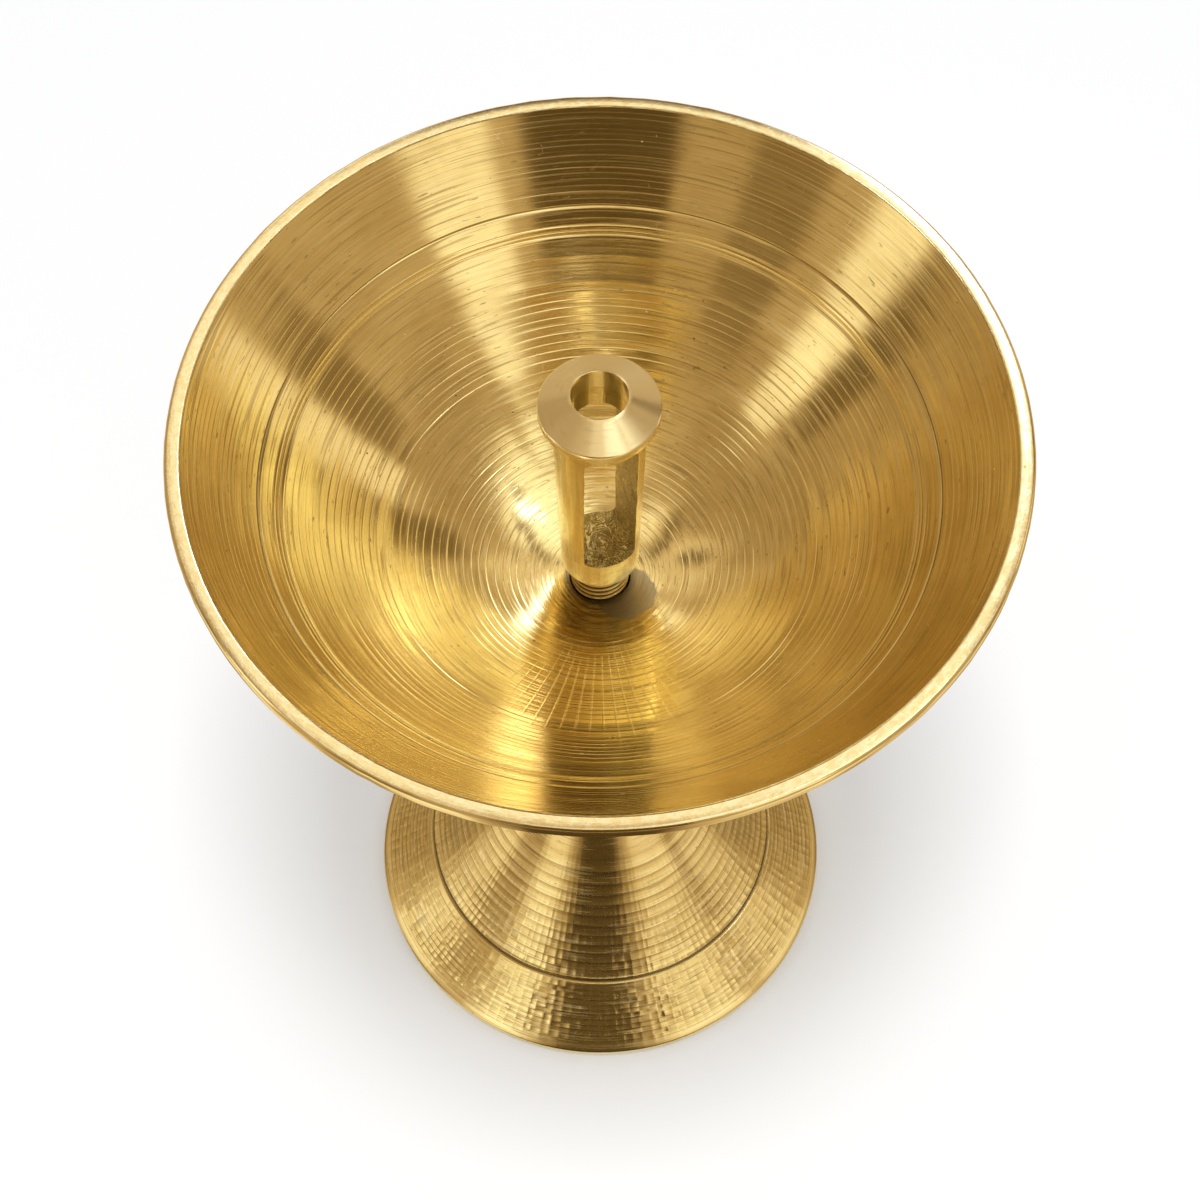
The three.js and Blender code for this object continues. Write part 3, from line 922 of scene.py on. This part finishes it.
# Each part of the studio: its azimuths in degrees from the camera's side, the right of the camera
# being above 0, its elevations, how many degrees its edges take, and its luminance
STUDIO_LEVEL = 0.41
STUDIO = {
    "ceiling": ((-62, 62), (68, 97), 12, 0.78),
    "right ceiling": ((62, 150), (54, 97), 6, 1.3),
    "above the camera": ((-22, 20), (56, 72), 6, 0.75),
    "left ceiling": ((-140, -100), (66, 82), 6, 1.0),
    "sky behind": ((150, 210), (47, 72), 3, 1.0),
    "sky behind, left half": ((-210, -150), (47, 72), 3, 1.0),
    "left sky": ((-118, -60), (42, 58), 8, 0.32),
    "left wall": ((-130, -95), (0, 42), 6, 0.3),
    "right sky": ((60, 115), (30, 50), 8, 0.34),
    "back right": ((128, 152), (38, 60), 6, 0.72),
    "back left": ((-150, -120), (38, 60), 10, 0.64),
    "back left strip": ((-134, -127), (43, 52), 3, 0.05),
    "right arc": ((84, 148), (58, 62), 2, 0.12),
    "left arc": ((-146, -102), (59, 63), 2, 0.12),
    "right softbox": ((27, 48), (16, 56), 5, 1.1),
    "over right panel": ((14, 58), (58, 67), 4, 1.5),
    "upper right panel": ((4, 29), (43, 55), 4, 0.84),
    "left softbox": ((-83, -69), (4, 39), 5, 1.1),
    "narrow right panel": ((100, 112), (4, 28), 4, 0.9),
    "right strip behind": ((155, 165), (27, 56), 4, 4.6),
    "right strip": ((98, 108), (60, 68), 3, 5.0),
    "left strip behind": ((-168, -154), (20, 42), 5, 1.1),
    "gap behind": ((169, 200), (16, 46), 3, 0.08),
    "gap behind, left half": ((-200, -169), (16, 46), 3, 0.08),
    "front card": ((-21, 19), (6, 47), 4, 0.07),
    "left card": ((-57, -37), (8, 38), 5, 0.19),
    "front left card": ((-37, -20), (8, 45), 4, 0.34),
    "small left card": ((-95, -84), (10, 28), 4, 0.12),
    "small right card": ((85, 99), (11, 28), 4, 0.18),
    "right card": ((114, 127), (-5, 36), 4, 0.14),
    "upper card": ((22, 47), (50, 57), 3, 0.62),
}
LOW_LEVEL = 0.36
LOW_STUDIO = {
    "left panel": ((-46, -26), (-90, 90), 8, 0.9),
    "far left panel": ((-87, -66), (-90, 90), 8, 0.8),
    "right panel": ((24, 54), (-90, 90), 10, 0.76),
    "far right panel": ((62, 86), (-90, 90), 8, 0.66),
    "dark card": ((-18, 15), (-90, 90), 9, 0.06),
}


def glow(level):
    """Light of this luminance, the warmer the dimmer it is: green and blue are shares of red that
    rise with the level."""
    green = np.minimum(0.60 + 0.27 * level, 1)
    blue = np.minimum(0.2 + 0.4 * level, 1)
    red = level / (0.2126 + 0.7152 * green + 0.0722 * blue)
    return np.stack([red, red * green, red * blue, np.ones_like(red)], -1)


def directions(azimuth, elevation):
    """Unit vectors at these angles in degrees, with azimuth 0 on the camera's side and 90 on its
    right: sin a cos e, -cos a cos e and sin e."""
    side = np.radians(azimuth) + camera_turn
    rise = np.radians(elevation)
    return np.stack([np.sin(side) * np.cos(rise), -np.cos(side) * np.cos(rise), np.sin(rise)], -1)


def inside(value, span, soft):
    """1 inside a span of degrees and 0 outside, changing over soft degrees as 3 s^2 - 2 s^3."""
    rise = np.clip((value - span[0]) / soft + 0.5, 0, 1)
    fall = np.clip((span[1] - value) / soft + 0.5, 0, 1)
    return (3 - 2 * rise) * rise**2 * (3 - 2 * fall) * fall**2


def studio_light(azimuth, elevation, level, parts):
    """Luminance in each direction: the general level, with each part laid over it in turn."""
    light = np.full(azimuth.shape, level)
    for azimuths, elevations, soft, brightness in parts.values():
        share = inside(azimuth, azimuths, soft) * inside(elevation, elevations, soft)
        light = light + (brightness - light) * share
    return light


def shining(name, place, light):
    """A grid of points that shines with this luminance, and that only reflections show."""
    mesh = bpy.data.meshes.new(name)
    mesh.from_pydata(place.reshape(-1, 3), [], grid_quads(*light.shape).reshape(-1, 4).tolist())
    mesh.color_attributes.new("glow", "FLOAT_COLOR", "POINT").data.foreach_set("color", glow(light).ravel())
    material = bpy.data.materials.new(name)
    material.use_nodes = True
    material.cycles.emission_sampling = "NONE"
    tree = material.node_tree
    tree.nodes.clear()
    colour = node(tree, "ShaderNodeAttribute", attribute_name="glow").outputs["Color"]
    shine = node(tree, "ShaderNodeEmission", {"Color": colour}).outputs[0]
    node(tree, "ShaderNodeOutputMaterial", {"Surface": shine})
    mesh.materials.append(material)
    screen = bpy.data.objects.new(name, mesh)
    bpy.context.scene.collection.objects.link(screen)
    screen.visible_camera = False
    screen.visible_diffuse = False
    screen.visible_shadow = False


def soft_lamp(name, azimuth, elevation, brightness, size):
    """A square light that faces the foot of the oil lamp, and that reflections don't show."""
    light = bpy.data.lights.new(name, "AREA")
    light.size = size
    light.energy = brightness * math.pi * size**2
    lamp = bpy.data.objects.new(name, light)
    way = Vector(directions(azimuth, elevation))
    lamp.location = way * lamp_reach
    lamp.rotation_euler = way.to_track_quat("Z", "Y").to_euler()
    lamp.visible_camera = False
    lamp.visible_glossy = False
    bpy.context.scene.collection.objects.link(lamp)


full_turn = np.linspace(-180, 180, dome_columns)
azimuth, elevation = np.meshgrid(full_turn, np.linspace(dome_lowest, 90, dome_rows))
dome = directions(azimuth, elevation) * dome_radius + [0, 0, dome_centre_height]
shining("studio_dome", dome, studio_light(azimuth, elevation, STUDIO_LEVEL, STUDIO))

# The low ring lies just above the table round the foot, and then rises to the dome's lowest lights.
# Each row of it has a radius, a height and a share of the ring's light.
low_rows = np.array(
    [
        [0.037, 0.0004, 0.6],
        [0.08, 0.0004, 0.95],
        [0.15, 0.0004, 1.1],
        [0.15, 0.07, 1.5],
        [0.15, 0.115, 1.1],
    ]
)
azimuth, low_radius = np.meshgrid(full_turn, low_rows[:, 0])
level_way = np.zeros(azimuth.shape)
low_ring = directions(azimuth, level_way) * low_radius[..., None]
low_ring[..., 2] = low_rows[:, 1:2]
low_light = low_rows[:, 2:] * studio_light(azimuth, level_way, LOW_LEVEL, LOW_STUDIO)
shining("low_studio_ring", low_ring, low_light)

soft_lamp("top_lamp", 0, 83, 29.0, 0.2)
soft_lamp("right_lamp", 39, 45, 0.5, 0.5)
soft_lamp("left_lamp", -75, 45, 0.3, 0.5)


def seen_rays(tree):
    """1 for rays from the camera and for those that metal and glass send on, 0 for the rest."""
    rays = node(tree, "ShaderNodeLightPath")
    seen = maths(tree, "MAXIMUM", rays.outputs["Is Camera Ray"], rays.outputs["Is Glossy Ray"])
    return maths(tree, "MAXIMUM", seen, rays.outputs["Is Transmission Ray"])


world = bpy.data.worlds.new("studio")
bpy.context.scene.world = world
world.use_nodes = True
world_tree = world.node_tree
backdrop = world_tree.nodes["Background"]
backdrop.inputs["Color"].default_value = (0.98, 0.99, 1, 1)
seen = seen_rays(world_tree)
level = maths(world_tree, "ADD", maths(world_tree, "MULTIPLY", seen, backdrop_level - sky_level), sky_level)
world_tree.links.new(level, backdrop.inputs["Strength"])

table_mesh = bpy.data.meshes.new("table_top")
table_corners = [(-1, -1, 0), (1, -1, 0), (1, 1, 0), (-1, 1, 0)]
table_mesh.from_pydata(table_half * np.array(table_corners), [], [(0, 1, 2, 3)])
table_top = bpy.data.objects.new("table_top", table_mesh)
bpy.context.scene.collection.objects.link(table_top)
table_white = bpy.data.materials.new("table_white")
table_white.use_nodes = True
table_tree = table_white.node_tree
table_shader = table_tree.nodes["Principled BSDF"]
table_shader.inputs["Base Color"].default_value = (0.9, 0.9, 0.9, 1)
table_shader.inputs["Roughness"].default_value = 0.9
table_shader.inputs["Specular IOR Level"].default_value = 0.0
table_shader.inputs["Emission Color"].default_value = (1, 1, 1, 1)
seen_glow = maths(table_tree, "MULTIPLY", seen_rays(table_tree), table_glow)
table_tree.links.new(seen_glow, table_shader.inputs["Emission Strength"])
table_top.data.materials.append(table_white)

camera = bpy.data.objects.new("camera", bpy.data.cameras.new("camera"))
camera.data.lens = camera_lens
camera.data.sensor_width = camera_sensor
camera.location = Matrix.Rotation(camera_turn, 3, "Z") @ Vector((0, -camera_reach, camera_height))
tilted = Matrix.Rotation(camera_tilt, 3, "X") @ Matrix.Rotation(camera_roll, 3, "Z")
camera.rotation_euler = (Matrix.Rotation(camera_turn, 3, "Z") @ tilted).to_euler()
bpy.context.scene.collection.objects.link(camera)
bpy.context.scene.camera = camera
bpy.context.scene.view_settings.view_transform = "Standard"
